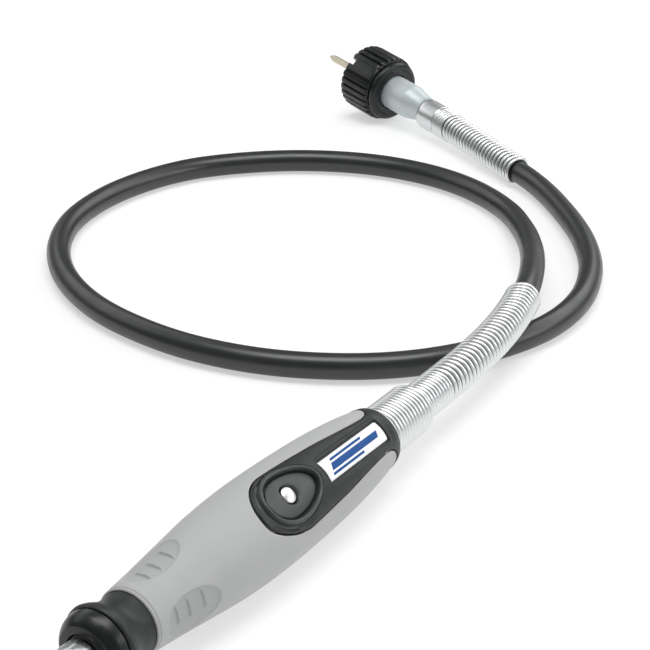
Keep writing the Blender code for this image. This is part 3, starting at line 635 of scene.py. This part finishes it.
def distance_to(line, stations, arcs, reach=1.2):
    """Distance from each point to a polyline's points, found only within a reach."""
    found = np.full(stations.shape, reach)
    fine = np.stack([
        np.interp(np.linspace(0, len(line) - 1, 900), np.arange(len(line)), line[:, k])
        for k in (0, 1)
    ], axis=1)
    flat_s, flat_a = stations.ravel(), arcs.ravel()
    best = found.ravel()
    for start in range(0, flat_s.size, 4000):
        part = slice(start, start + 4000)
        gap = np.hypot(flat_s[part, None] - fine[None, :, 0], flat_a[part, None] - fine[None, :, 1])
        best[part] = np.minimum(best[part], gap.min(axis=1))
    return best.reshape(stations.shape)


def rim_drop(distance, depth=0.35, reach=0.55):
    return -depth * np.clip(1 - distance / reach, 0, 1) ** 2


def on_skin(stations, turns, offsets):
    """Points in the handpiece's frame at stations, turns and offsets from the skin."""
    radius = grip_radius(stations) + offsets
    return np.stack([
        radius * np.cos(turns), radius * np.sin(turns), MID_STATION - stations,
    ], axis=-1)


def dimples(stations, turns):
    """Each finger dimple's own arc and its distance from the middle, 1 at its edge."""
    for middle in DIMPLE_TURNS:
        arc = np.mod(turns - math.radians(middle) + math.pi, 2 * math.pi) - math.pi
        arc = arc * grip_radius(stations) * math.copysign(1, middle)
        yield arc, np.hypot((stations - DIMPLE_MID) / DIMPLE_SEMI[0], arc / DIMPLE_SEMI[1])


def dimple_offset(stations, turns):
    """Oval hollows for the fingers, each with three short ribs on the side nearer the pad."""
    total = np.zeros_like(stations)
    for arc, across in dimples(stations, turns):
        total -= DIMPLE_DEPTH * np.clip(1 - across ** 2, 0, 1) ** 0.5
        total -= DIMPLE_STEP * smoothstep(1.0, 0.965, across)
        for rib in DIMPLE_RIBS:
            along = smoothstep(*DIMPLE_RIB_FADE, np.abs(arc + DIMPLE_RIB_MIDDLE))
            across_rib = (stations - rib - DIMPLE_RIB_LEAN * arc) / DIMPLE_RIB_WIDTH
            total += DIMPLE_RIB_HEIGHT * np.exp(-across_rib ** 2) * along
    return total


# Faces inside the dimples, which take the darker grey as painted shade.
def in_dimple_shade(stations, turns):
    return np.any([across < DIMPLE_SHADE_SHARE for _, across in dimples(stations, turns)], axis=0)


def grip_shell(look, dimple_shade_look):
    front, rear = SHELL_ENDS
    nose = PAD_FRONT - SEAM
    reach = PAD_MID - nose
    stations = np.r_[
        np.linspace(front, 0.9, 22), np.linspace(1.1, 24, 100), np.linspace(24.5, nose - 0.4, 45),
        nose - 0.2, PAD_MID - reach * np.cos(np.linspace(0, math.pi / 2, 60)),
        np.linspace(PAD_MID + 0.6, rear - 4, 75), np.linspace(rear - 3.6, rear - 0.6, 16),
        rear - 0.4, rear - 0.22, rear - 0.08, rear,
    ]
    radius = grip_radius(stations)
    upper, lower = (
        np.where(stations <= nose, 0,
                 np.arcsin(np.clip(pad_half_width(stations, SEAM, side) / radius, 0, 1)))
        for side in (False, True)
    )
    count = 290
    even = np.linspace(0, 1, count)
    share = 0.45 * even + 0.55 * (0.5 - 0.5 * np.cos(math.pi * even))
    turns = upper[:, None] + share[None, :] * (2 * math.pi - upper - lower)[:, None]
    grid = np.repeat(stations[:, None], count, axis=1)
    folded = np.mod(turns + math.pi, 2 * math.pi) - math.pi
    arcs = folded * grip_radius(grid)
    seam = seam_distance(SEAM, grid, arcs)
    offsets = dimple_offset(grid, turns) + rim_drop(seam)
    offsets += rim_drop(grid - front, 0.45, 0.5) + rim_drop(rear - grid, 0.45, 0.6)
    offsets -= 0.28 * np.exp(-((grid + 0.45) / 0.22) ** 2)
    # The faces inside the dimples get the darker grey: painted shade in the hollows.
    made = grid_mesh("grip_shell_skin", on_skin(grid, turns, offsets), look, frame=HAND,
                     paint=in_dimple_shade(grid, turns))
    made.data.materials.append(dimple_shade_look)
    return solid_shell(made, GRIP_WALL)


def egg(station, width):
    """Distance along the ray from the dish's centre to its egg-shaped groove, outwards."""
    x, y = station - DISH_CENTRE, width - DISH_ASIDE
    return np.hypot(x, y) - egg_reach(np.arctan2(y, -x))


def egg_reach(angle):
    """Radius of the groove's egg at an angle from the direction of the nose."""
    a, b = DISH_SEMI
    b = b * (1 + 0.06 * np.cos(angle))
    return a * b / np.sqrt((b * np.cos(angle)) ** 2 + (a * np.sin(angle)) ** 2)


def label_gap(stations, widths, margin):
    """Distance-like value to the label's outline moved out by a margin: inside is negative."""
    half = np.interp(stations, LABEL, LABEL_HALF) + margin
    ends = np.maximum(LABEL[0] - margin - stations, stations - LABEL[1] - margin)
    return np.maximum(np.abs(widths) - half, ends)


def pad_offset(stations, widths):
    """Surface detail of the pad, away from the dish's own piece."""
    away = egg(stations, widths)
    offsets = -WELL_DEPTH * smoothstep(1.7, 1.1, away)
    moat = smoothstep(3.3, 2.5, away) * smoothstep(69, 56, stations)
    offsets -= MOAT_DEPTH * moat * smoothstep(9.9, 8.6, widths)
    trough = label_gap(stations, widths, 0.55)
    offsets -= TROUGH_DEPTH * smoothstep(0.2, -0.3, trough)
    offsets += TROUGH_EDGE * np.exp(-((trough - 0.5) / 0.45) ** 2) * smoothstep(77, 82, stations)
    return offsets


def thumb_pad(look):
    reach = PAD_MID - PAD_FRONT
    stations = np.r_[
        PAD_MID - reach * np.cos(np.linspace(0.02, math.pi / 2, 70)),
        np.linspace(PAD_MID + 0.25, SHELL_ENDS[1] - 0.25, 240), SHELL_ENDS[1] + 0.1,
    ]
    radius = grip_radius(stations)
    upper, lower = (
        np.arcsin(np.clip(pad_half_width(stations, 0, side) / radius, 0.0005, 1))
        for side in (False, True)
    )
    near = np.array([0, 0.008, 0.018, 0.03, 0.045, 0.065])
    share = np.r_[near, np.linspace(0.085, 0.915, 104), 1 - near[::-1]]
    turns = -lower[:, None] + share[None, :] * (upper + lower)[:, None]
    grid = np.repeat(stations[:, None], share.size, axis=1)
    widths = grip_radius(grid) * np.sin(turns)
    seam = seam_distance(0, grid, turns * grip_radius(grid))
    offsets = PAD_PROUD + rim_drop(seam, 0.45, 0.6) + pad_offset(grid, widths)
    hole = np.hypot(grid - BUTTON_STATION, widths - BUTTON_ASIDE) < HOLE_RADIUS + 0.9
    made = grid_mesh("thumb_pad_skin", on_skin(grid, turns, offsets), look, frame=HAND, drop=hole)
    return solid_shell(made, PAD_WALL)


def rear_collar(look):
    front, rear = COLLAR
    edge = rear - COLLAR_LIP
    top = [(station, float(grip_radius(station)) + PAD_PROUD) for station in (front, edge)]
    lip = [
        (edge + COLLAR_LIP * math.sin(a), float(grip_radius(rear)) - 0.5 + 0.62 * math.cos(a))
        for a in np.radians([20, 40, 60, 80, 90])
    ]
    profile = top + lip + [(rear, 9.0), (rear - 0.15, COLLAR_PASSAGE), (front, COLLAR_PASSAGE)]
    return lathe("rear_collar", by_station(profile), look, HAND, 160)


def thumb_dish(look):
    """Dish with its raised ring, as rings of points from the button's hole out past the ring."""
    angles = np.linspace(0, 2 * math.pi, 200, endpoint=False)
    hole = [(0.0, -3.0), (0.0, -2.1), (0.05, -1.8), (0.2, -1.4), (0.45, -1.12), (0.7, -1.0),
            (1.0, -0.95)]
    floor = [(0.30, -0.92), (0.5, -0.9), (0.7, -0.88), (0.9, -0.88)]
    ring = [
        (-0.85, -0.88), (-0.74, -0.95), (-0.67, -1.2), (-0.65, -2.1), (-0.1, -2.15), (0.0, -2.0),
        (0.03, -0.9), (0.06, -0.08), (0.14, 0.12), (0.28, 0.28), (0.48, 0.38), (0.7, 0.42),
        (0.92, 0.39), (1.12, 0.27), (1.28, 0.08), (1.42, -0.2), (1.58, -0.55), (1.8, -0.8),
        (2.2, -0.92), (2.7, -1.05), (3.0, -1.2),
    ]
    outer = egg_reach(angles)
    shift = BUTTON_STATION - DISH_CENTRE
    rows = []
    for grow, height in hole:
        rows.append((shift - (HOLE_RADIUS + grow) * np.cos(angles),
                     BUTTON_ASIDE + (HOLE_RADIUS + grow) * np.sin(angles), height))
    rim = HOLE_RADIUS + hole[-1][0]
    for share, height in floor:
        x = (1 - share) * (shift - rim * np.cos(angles)) - share * (outer - 0.95) * np.cos(angles)
        y = (1 - share) * (BUTTON_ASIDE + rim * np.sin(angles))
        rows.append((x, y + share * (DISH_ASIDE + (outer - 0.95) * np.sin(angles)), height))
    for grow, height in ring:
        rows.append((-(outer + grow) * np.cos(angles),
                     DISH_ASIDE + (outer + grow) * np.sin(angles), height))
    points = []
    for x, y, height in rows:
        station = DISH_CENTRE + x
        upper = pad_half_width(station) - 0.2
        lower = pad_half_width(station, 0, True) - 0.2
        turn = np.arcsin(np.clip(np.clip(y, -lower, upper) / grip_radius(station), -1, 1))
        if len(points) < len(hole):
            # The hole's wall runs straight in, beside the button's cap.
            radius = grip_radius(station)
            turn = np.arcsin(y * (1 + hole[-1][1] / radius) / (radius + height))
        # The floor of the dish falls away from the skin towards its rear.
        sink = DISH_TILT * x if height < -0.8 else 0
        points.append(on_skin(station, turn, height - sink + PAD_PROUD))
    made = grid_mesh("thumb_dish", np.array(points), look, close_columns=True, frame=HAND)
    return solid_shell(made, DISH_WALL)


def label_plate(look):
    start, stop = LABEL
    shares = np.r_[0, 0.015, 0.04, np.linspace(0.08, 0.92, 26), 0.96, 0.985, 1]
    stations = np.r_[start, start + 0.1, start + 0.3, np.linspace(start + 0.8, stop - 0.8, 60),
                     stop - 0.5, stop - 0.3, stop - 0.15, stop - 0.05, stop]
    half = np.interp(stations, LABEL, LABEL_HALF)
    into = 1 - np.clip((stop - stations) / LABEL_CORNER, 0, 1)
    corner = LABEL_CORNER * (1 - np.sqrt(np.clip(1 - into ** 2, 0, 1)))
    across = shares * 2 - 1
    widths = across[None, :] * (half - corner)[:, None]
    along = ((stations - start) / (stop - start))[:, None]
    bow = 0.15 * along ** 3 + 0.25 * (1 - along) ** 3
    grid = stations[:, None] + (1 - across[None, :] ** 2) * bow
    rim = np.minimum(np.minimum(shares, 1 - shares)[None, :] * 7.0,
                     np.minimum(along, 1 - along) * (stop - start))
    turns = np.arcsin(widths / grip_radius(grid))
    points = on_skin(grid, turns, rim_drop(rim, 0.2, 0.3))
    return solid_shell(grid_mesh("label_plate_face", points, look, frame=HAND), LABEL_WALL)


def label_stripes(look):
    """Plain printed stripes on the label, with no lettering."""
    made = []
    for index, (start, stop, middle, half) in enumerate(STRIPES):
        stations = np.linspace(start, stop, 50)
        shares = np.linspace(-1, 1, 7)
        widths = middle + half * np.repeat(shares[None, :], stations.size, axis=0)
        grid = np.repeat(stations[:, None], shares.size, axis=1) + STRIPE_LEAN * widths
        turns = np.arcsin(widths / grip_radius(grid))
        points = on_skin(grid, turns, np.full(grid.shape, STRIPE_PROUD))
        stripe = grid_mesh("label_stripe_%d" % index, points, look, frame=HAND)
        made.append(solid_shell(stripe, STRIPE_WALL))
    return made


# --- Nose, button and rear ---


def nose_pieces(looks):
    collar = smooth_through((
        (-1.7, 9.55), (-3.4, 9.35), (-5.6, 9.3), (-7.8, 9.75), (-9.8, 10.6), (-11.4, 11.35),
        (-12.8, 11.75),
    ), 0.25).tolist()
    collar += [(-13.5, 11.65), (-13.95, 11.3), (-14.0, 10.9), (-14.0, 8.4), (-8.7, 8.4),
               (-8.7, 5.7), (10, 5.7), (10, 7.4), (-1.7, 7.4)]
    ring = [(-14.3, 10.9), (-14.45, 11.1), (-15.6, 10.95)] + smooth_through((
        (-15.6, 10.95), (-16.8, 10.6), (-17.9, 10.0), (-18.8, 9.3), (-19.3, 8.8),
    ), 0.2).tolist()[1:] + [(-19.5, 8.4), (-19.5, 6.4), (-14.3, 6.4)]
    return [
        lathe("nose_collar_turned", by_station(collar), looks["pad"], HAND),
        lathe("nose_ring_turned", by_station(ring), looks["black"], HAND),
    ]


def collet_nut(look):
    """Nut with six flats and a rounded shoulder, bored for the collet."""
    turns = np.linspace(0, 2 * math.pi, 180, endpoint=False)
    flat = HEX_HALF / np.cos((turns + math.pi / 6) % (math.pi / 3) - math.pi / 6)
    outer = [(-30.45, 4.3), (-30.1, 4.65), (-29.6, 4.9), (-26.5, 5.3), (-25.7, 5.6), (-25.3, 5.75),
             (-20.9, 5.75), (-20.5, 5.6), (-20.2, 5.3)]
    inner = [(-20.2, 4.3), (-26.3, 4.3), (-26.9, 3.6), (-28.7, 3.55), (-30.45, 3.0)]
    rows = [turned_row(np.minimum(flat, radius), turns, MID_STATION - at) for at, radius in outer]
    rows += [turned_row(radius, turns, MID_STATION - at) for at, radius in inner]
    return grid_mesh("collet_nut_hex", np.array(rows), look, close_columns=True, close_rows=True,
                     frame=HAND)


def button_frame():
    """Local +Z straight out through the button's hole, origin on the grip's axis."""
    return (HAND @ Matrix.Translation((0, 0, (MID_STATION - BUTTON_STATION) * MM))
            @ Matrix.Rotation(math.pi / 2, 4, "Y"))


def return_spring(look):
    """Coil round the button's stem, from the barrel up to the button's cap."""
    low, high = RETURN_SPRING
    turn = np.linspace(0, 2 * math.pi, 10, endpoint=False)
    swell = np.ones(RETURN_POINTS)
    swell[[0, -1]] = WIRE_END[0]
    rows = []
    for k in range(RETURN_POINTS):
        share = k / (RETURN_POINTS - 1)
        angle = RETURN_TURNS * 2 * math.pi * share
        radius = RETURN_RADIUS + swell[k] * RETURN_WIRE * np.cos(turn)
        height = low + (high - low) * share + swell[k] * RETURN_WIRE * np.sin(turn)
        rows.append(np.stack([radius * math.cos(angle), radius * math.sin(angle), height], axis=-1))
    return grid_mesh("lock_spring_coil", np.array(rows), look, close_columns=True,
                     frame=button_frame())


def lock_button(look):
    """Domed button in its hole, turned about a line straight out through the dish."""
    frame = button_frame()
    dome = [(BUTTON_TOP - (1 - math.cos(a)), 0.02 + BUTTON_RADIUS * math.sin(a), 1)
            for a in np.radians(np.linspace(1, 90, 16))]
    stem = [(12.1, BUTTON_RADIUS, 1), (12.0, 2.4, 1), (12.0, 1.5, 0), (6.0, 1.5, 0), (5.6, 1.2, 0),
            (5.6, 0.02, 0)]
    turns = np.linspace(0, 2 * math.pi, 72, endpoint=False)
    rows = [
        np.stack([radius * np.cos(turns), radius * np.sin(turns) + aside * BUTTON_ASIDE,
                  np.full(turns.size, height)], axis=-1)
        for height, radius, aside in dome + stem
    ]
    return grid_mesh("lock_button_dome", np.array(rows), look, close_columns=True,
                     close_rows=True, frame=frame)


# --- Casing and springs ---


def casing_line(spacing):
    line = smooth_through(CASING_ROUTE, spacing)
    line[:, 2] = np.maximum(line[:, 2], CASING_DIAMETER / 2 + 0.03)
    return line


def coil(line, start, sections):
    """Helix round a line in sections: its points, outward and onward directions, half widths."""
    arc = np.r_[0, np.cumsum(np.linalg.norm(np.diff(line, axis=0), axis=1))]
    tangents = np.gradient(line, arc, axis=0)
    side = Vector((0, 1, 0))
    sides = []
    for tangent in tangents:
        along = Vector(tangent).normalized()
        side = (side - along * side.dot(along)).normalized()
        sides.append(np.array(side))
    sides = np.array(sides)
    steps = []
    angle, travel, radius = 0.0, start, sections[0][2]
    for turns, pitch, target in sections:
        for _ in range(round(turns * TURN_POINTS)):
            steps.append((travel, angle, radius, min(WIRE_WIDTH, WIRE_SHARE * pitch)))
            angle += 2 * math.pi / TURN_POINTS
            travel += pitch / TURN_POINTS
            radius += (target - radius) * RADIUS_EASE
    travel, angle, radius, half = np.array(steps).T
    at, onward, out = (
        np.stack([np.interp(travel, arc, table[:, k]) for k in range(3)], axis=1)
        for table in (line, tangents, sides)
    )
    onward /= np.linalg.norm(onward, axis=1)[:, None]
    across = np.cross(onward, out)
    outward = out * np.cos(angle)[:, None] + across * np.sin(angle)[:, None]
    return at + outward * radius[:, None], outward, onward, half


def spring(name, line, start, sections, look):
    """Wound wire of flattened section, with rounded ends."""
    centres, outward, onward, half = coil(line, start, sections)
    turn = np.linspace(0, 2 * math.pi, SECTION_POINTS, endpoint=False)
    swell = np.ones(len(centres))
    swell[:3] = WIRE_END
    swell[-3:] = WIRE_END[::-1]
    section = (
        outward[:, None, :] * (WIRE_DEPTH * np.cos(turn))[None, :, None]
        + onward[:, None, :] * np.sin(turn)[None, :, None] * half[:, None, None]
    )
    points = centres[:, None, :] + section * swell[:, None, None]
    return grid_mesh(name, points, look, close_columns=True)


def casing_and_springs(looks):
    sheath = wire("casing_sheath", casing_line(2.0), CASING_DIAMETER / 2, looks["sheath"], 10)
    line = casing_line(0.5)
    hand = spring("handpiece_coil", line, HAND_SPRING_START, HAND_SPRING_TURNS, looks["spring"])
    far = spring("coupling_coil", line[::-1], COUPLING_SPRING_START, COUPLING_SPRING_TURNS,
                 looks["spring"])
    return sheath, hand, far


# --- Coupling ---


def ferrule(looks):
    body = smooth_through((
        (-14.9, 8.0), (-15.3, 7.97), (-15.7, 7.88), (-16.3, 7.72), (-19.0, 7.08), (-21.8, 6.42),
        (-23.2, 6.12), (-24.2, 5.97), (-25.0, 5.9),
    ), 0.2).tolist()
    sleeve = [(7.0, 7.5), (6.8, 7.8), (6.3, 8.0), (2, 8.0), (-6, 8.0)] + body + [
        (-25.0, 3.3), (7.0, 3.3)]
    crimp = [(-25.06, 3.6), (-25.06, 6.25), (-25.3, 6.55), (-25.8, 6.82), (-26.5, 6.98),
             (-27.4, 7.05), (-30.3, 7.05), (-35.2, 7.0), (-35.9, 6.95), (-36.15, 6.8),
             (-36.2, 5.9), (-30, 5.5)]
    sagged = COUPLING @ Matrix.Translation((0, -CRIMP_SAG * MM, 0))
    return [
        lathe("ferrule_body", sleeve, looks["zinc"], COUPLING, 144),
        lathe("crimp_ring_turned", crimp, looks["crimp"], sagged, 144),
    ]


def coupling_nut(look):
    """Cup with rounded ribs, a smooth rear flange, a plain window and a notch in its rim."""
    per_rib = 14
    turns = np.degrees(np.linspace(0, 2 * math.pi, NUT_RIBS * per_rib, endpoint=False))
    low, high = NOTCH_TURN - NOTCH_SPAN, NOTCH_TURN + NOTCH_SPAN
    walls = [low, low + 0.05, high - 0.05, high]
    turns = np.unique(np.r_[turns, walls])
    inside = (turns > low + 0.01) & (turns < high - 0.01)
    phase = (turns / 360 * NUT_RIBS) % 1
    rib = smoothstep(0.06, 0.24, phase) * smoothstep(0.94, 0.76, phase)
    away = np.abs((turns - WINDOW_TURN + 180) % 360 - 180)
    plain = smoothstep(WINDOW_SPAN + 0.6, WINDOW_SPAN - 0.6, away)
    ribbed = NUT_ROOT + (NUT_RADIUS - NUT_ROOT) * rib
    outer = ribbed * (1 - plain) + (NUT_ROOT + 0.15) * plain
    groove = NUT_ROOT - 1.15
    rear = [
        (NUT_FLOOR, NUT_BORE), (NUT_FLOOR, NUT_PASSAGE + 0.2), (3.3, NUT_PASSAGE), (-2.1, NUT_PASSAGE),
        (-2.45, NUT_PASSAGE + 0.3), (NUT_REAR, 9.4), (NUT_REAR, 10.9), (-2.3, 11.1), (-2.3, 11.35),
        (NUT_REAR, 11.55), (NUT_REAR, 12.3), (-2.35, 12.9), (-1.9, 13.6), (-1.4, 13.95),
        (-0.3, 14.1), (0.0, 14.0), (0.15, 13.8), (0.2, groove), (0.72, groove), (RIBS_REAR, 13.6),
    ]
    front_cap = np.where(inside, NUT_FRONT - NOTCH_DEPTH, NUT_FRONT)
    rows = []
    for height, radius in rear:
        rows.append((np.full(turns.size, height), np.full(turns.size, radius)))
    for share, blend in ((0.0, 0.0), (0.02, 0.55), (0.05, 0.85), (0.09, 1.0), (0.3, 1.0), (0.5, 1.0),
                         (0.7, 1.0), (0.9, 1.0), (0.955, 0.9), (0.98, 0.65), (1.0, 0.2)):
        height = RIBS_REAR + share * (front_cap - RIBS_REAR)
        rows.append((height, NUT_SHOULDER + blend * (outer - NUT_SHOULDER)))
    for radius in (13.3, 12.5, 11.8):
        rows.append((front_cap, np.full(turns.size, radius)))
    rows.append((front_cap - 0.3, np.full(turns.size, NUT_BORE)))
    for share in (0.66, 0.33):
        rows.append((NUT_FLOOR + share * (front_cap - NUT_FLOOR), np.full(turns.size, NUT_BORE)))
    angle = np.radians(turns)
    points = np.array([turned_row(radius, angle, height) for height, radius in rows])
    return grid_mesh("coupling_nut_ribbed", points, look, close_columns=True, close_rows=True,
                     frame=COUPLING)


def drive_core(look):
    """Core's round end in the ferrule, and its square tip with a blunt point."""
    turns = np.linspace(0, 2 * math.pi, 48, endpoint=False)
    square = np.maximum(np.abs(np.cos(turns)), np.abs(np.sin(turns)))
    rows = []
    for height, radius, flat in (
            (-24.4, POINT_RADIUS, 0), (-24.4, 1.3, 0), (-24.2, 1.45, 0), (10.5, 1.45, 0), (12, 1.45, 1),
            (CORE_TIP - 3.3, 1.45, 1), (CORE_TIP - 2.7, 1.36, 1), (CORE_TIP - 0.9, 0.85, 1),
            (CORE_TIP - 0.3, 0.62, 1), (CORE_TIP - 0.05, 0.42, 1), (CORE_TIP, 0.2, 1),
            (CORE_TIP, POINT_RADIUS, 1)):
        reach = radius * (np.minimum(1.0 / square, CORE_CORNER) if flat else 1)
        rows.append(turned_row(reach, turns, height))
    return grid_mesh("drive_tip", np.array(rows), look, close_columns=True, frame=COUPLING)


# --- Assembly ---


INNER_LOOKS = {
    "alu": ("inner_barrel", "bearing_spacer"),
    "steel": ("front_bearing_outer_ring", "front_bearing_inner_ring", "rear_bearing_outer_ring",
              "rear_bearing_inner_ring", "spindle", "drive_socket", "rear_sleeve",
              "nut_retaining_ring"),
    "brass": ("front_bearing_ball_cage", "rear_bearing_ball_cage", "collet", "ferrule_bush",
              "core_stop_collar"),
    "core": ("core_end_square",),
    "spring": ("preload_spring",),
    "felt": ("dust_seal",),
}


def repaint(frame, looks):
    for key, names in INNER_LOOKS.items():
        for name in names:
            node = frame["nodes"][name]
            node.data.materials.clear()
            node.data.materials.append(looks[key])


def place(piece, body, slot, *nodes):
    """Rides a piece on its body and hides the nodes that it replaces. The slot is not used."""
    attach(piece, body)
    if nodes:
        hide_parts(*nodes)


def main():
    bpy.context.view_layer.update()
    make_camera()
    looks = make_looks()
    sheath, hand, far = casing_and_springs(looks)
    place(sheath, "handpiece", "casing_rubber", "flex_casing")
    place(hand, "handpiece", "spring_steel", "handpiece_spring")
    place(far, "handpiece", "spring_steel", "coupling_spring")
    make_stage()
    repaint(frame, looks)
    place(grip_shell(looks["grip"], looks["dimple"]), "handpiece", "grip_plastic", "grip_shell")
    place(thumb_pad(looks["pad"]), "handpiece", "pad_plastic", "thumb_pad")
    place(thumb_dish(looks["dish"]), "handpiece", "pad_plastic", "button_guide")
    place(rear_collar(looks["pad"]), "handpiece", "pad_plastic")
    place(label_plate(looks["label"]), "handpiece", "label_white", "label_plate")
    for stripe in label_stripes(looks["stripe"]):
        place(stripe, "handpiece", "label_white")
    collar, ring = nose_pieces(looks)
    hexagon = collet_nut(looks["steel"])
    place(collar, "handpiece", "pad_plastic", "nose_collar")
    place(ring, "handpiece", "black_nylon", "nose_ring")
    place(hexagon, "collet_nut", "steel", "collet_nut")
    place(lock_button(looks["polished"]), "lock_button", "steel", "lock_button")
    coil_spring = return_spring(looks["spring"])
    place(coil_spring, "handpiece", "spring_steel", "lock_spring")
    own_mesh(coil_spring)
    body, crimp = ferrule(looks)
    place(body, "handpiece", "zinc", "coupling_ferrule")
    place(crimp, "handpiece", "spring_steel", "crimp_ring")
    nut = coupling_nut(looks["black"])
    place(nut, "coupling_nut", "black_nylon", "coupling_nut")
    tip = drive_core(looks["core"])
    place(tip, "drive_core", "core_steel", "drive_core_tip")


main()
